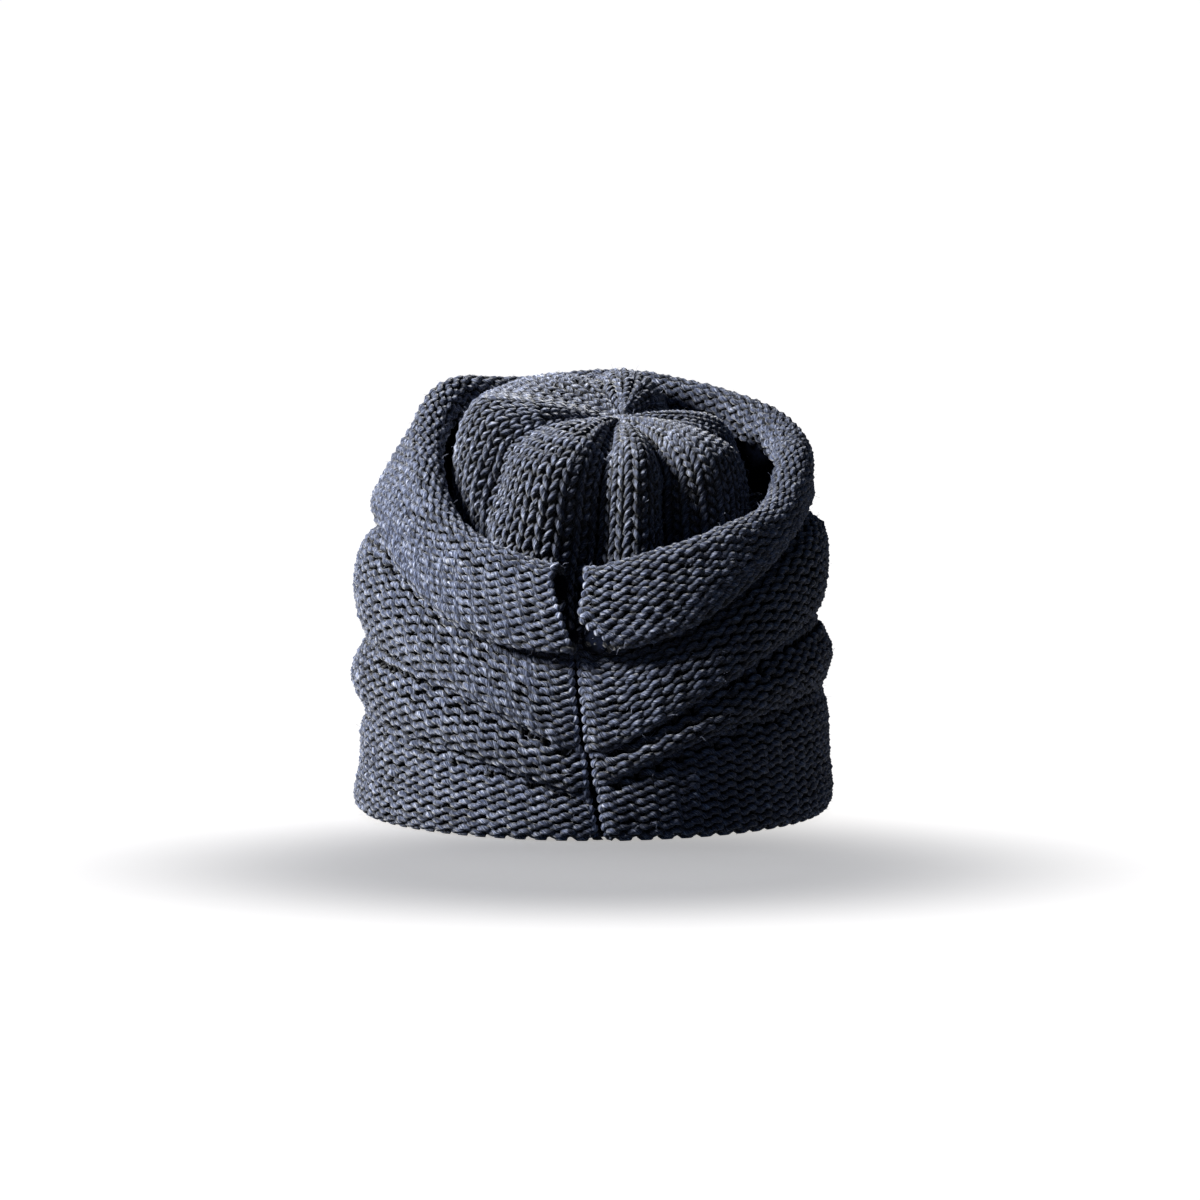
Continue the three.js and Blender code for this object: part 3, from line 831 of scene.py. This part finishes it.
def floorSurface():
    # a white paper sweep that glows: a painted soft oval shadow under the hat, where the glow is weaker, and
    # plain white further off, by the smooth step of the distance from the oval's middle
    material, shader = newMaterial("white_paper_floor_painted_shadow", Roughness=0.9)
    place = addNode(material, "ShaderNodeTexCoord")
    (x, y), (halfX, halfY) = floorLook["middle"], floorLook["half"]
    oval = addNode(material, "ShaderNodeVectorMath", {"operation": "MULTIPLY_ADD"},
                   i0=place.outputs["Object"], i1=(1 / halfX, 1 / halfY, 0), i2=(-x / halfX, -y / halfY, 0))
    distance = addNode(material, "ShaderNodeVectorMath", {"operation": "LENGTH"}, i0=oval)
    mottle = addNode(material, "ShaderNodeTexNoise", Vector=place.outputs["Object"],
                     Scale=floorLook["mottle"]).outputs["Fac"]
    paper = addNode(material, "ShaderNodeValToRGB", stops=floorLook["colours"], i0=mottle)
    join(material, paper, shader.inputs["Base Color"])
    shader.inputs["Emission Color"].default_value = linear(floorLook["tint"])
    (start, end), (least, most) = floorLook["fade"], floorLook["glow"]
    # painted shadow: the glow is weaker inside the oval
    glow = addNode(material, "ShaderNodeMapRange", {"interpolation_type": "SMOOTHSTEP"},
                   i0=distance.outputs["Value"], i1=start, i2=end, i3=least, i4=most)
    join(material, glow, shader.inputs["Emission Strength"])
    return material


def disc(name, radius, segments, material):
    # a flat disc on the ground, fanned out from its middle
    angle = np.arange(segments) / segments * turnRound
    points = np.stack([np.cos(angle), np.sin(angle), np.zeros(segments)], -1) * radius / mm
    points[:, 2] += cadLow[2] / mm
    points = np.concatenate([points, [[0, 0, cadLow[2] / mm]]])
    ring = np.arange(segments)
    faces = np.stack([ring, (ring + 1) % segments, np.full(segments, segments)], -1)
    return addMesh(name, points, faces, material)


floor = disc("floor", floorLook["radius"], floorLook["segments"], floorSurface())
floor.visible_diffuse = False  # its glow doesn't light the hat from below


def areaLight(name, azimuth, elevation, distance, size, energy, lit):
    # a square white lamp that faces the hat: azimuth goes round from the back seam to the right, elevation
    # is above the floor
    data = bpy.data.lights.new(name, "AREA")
    data.energy = energy
    data.size = size
    lamp = bpy.data.objects.new(name, data)
    bpy.context.scene.collection.objects.link(lamp)
    a, e = math.radians(azimuth), math.radians(elevation)
    middle = (Vector(cadLow) + Vector(cadHigh)) / 2
    away = Vector((math.sin(a) * math.cos(e), -math.cos(a) * math.cos(e), math.sin(e)))
    lamp.location = middle + distance * away
    lamp.rotation_euler = (middle - lamp.location).to_track_quat("-Z", "Y").to_euler()
    lamp.light_linking.receiver_collection = lit


def litTogether(name, pieces):
    # the pieces that one lamp lights
    group = bpy.data.collections.new(name)
    for piece in pieces:
        group.objects.link(piece)
    return group


hatPieces = [piece for piece in bpy.context.scene.objects if piece.type == "MESH" and piece is not floor]
crownPieces = [piece for piece in hatPieces if piece.name.startswith("crown")]
onCrown = litTogether("lit_crown", crownPieces)
onBody = litTogether("lit_body", [piece for piece in hatPieces if piece not in crownPieces])
onFloor = litTogether("lit_floor", [floor])
# lamps with a place in degrees and metres, a size in metres and a power in watts: the body and the crown
# each have a key from the left, so that both are lit at the slant that shows their stitches
lamps = table(["name", "azimuth", "elevation", "distance", "size", "energy", "lit"], [
    ["key_left", -64, 30, 0.9, 0.25, 20, onBody],
    ["key_crown", -92, 44, 0.8, 0.25, 26, onCrown],
    ["floor_back", 180, 60, 2.2, 1.2, 5, onFloor],
])
for lamp in lamps:
    areaLight(**lamp)
fill = dict(colour="#95bfff", strength=0.055)  # a faint blue from all round
world = bpy.data.worlds.new("studio")
bpy.context.scene.world = world
world.use_nodes = True
background = world.node_tree.nodes["Background"]
background.inputs["Color"].default_value = linear(fill["colour"])
background.inputs["Strength"].default_value = fill["strength"]

# in metres and degrees: width is what the frame takes in at the hat, sight goes past the floor's edge
view = dict(distance=3.2, elevation=6.0, width=0.4764, aim=(0.0028, 0, 0.0834), sight=200)
cameraData = bpy.data.cameras.new("camera")
camera = bpy.data.objects.new("camera", cameraData)
bpy.context.scene.collection.objects.link(camera)
aim = Vector(view["aim"])
tilt = math.radians(view["elevation"])
camera.location = aim + view["distance"] * Vector((0, -math.cos(tilt), math.sin(tilt)))
camera.rotation_euler = (aim - camera.location).to_track_quat("-Z", "Y").to_euler()
cameraData.lens = cameraData.sensor_width * view["distance"] / view["width"]
cameraData.clip_end = view["sight"]
bpy.context.scene.camera = camera
bpy.context.scene.view_settings.view_transform = "Standard"
print("floor, lights and camera placed")
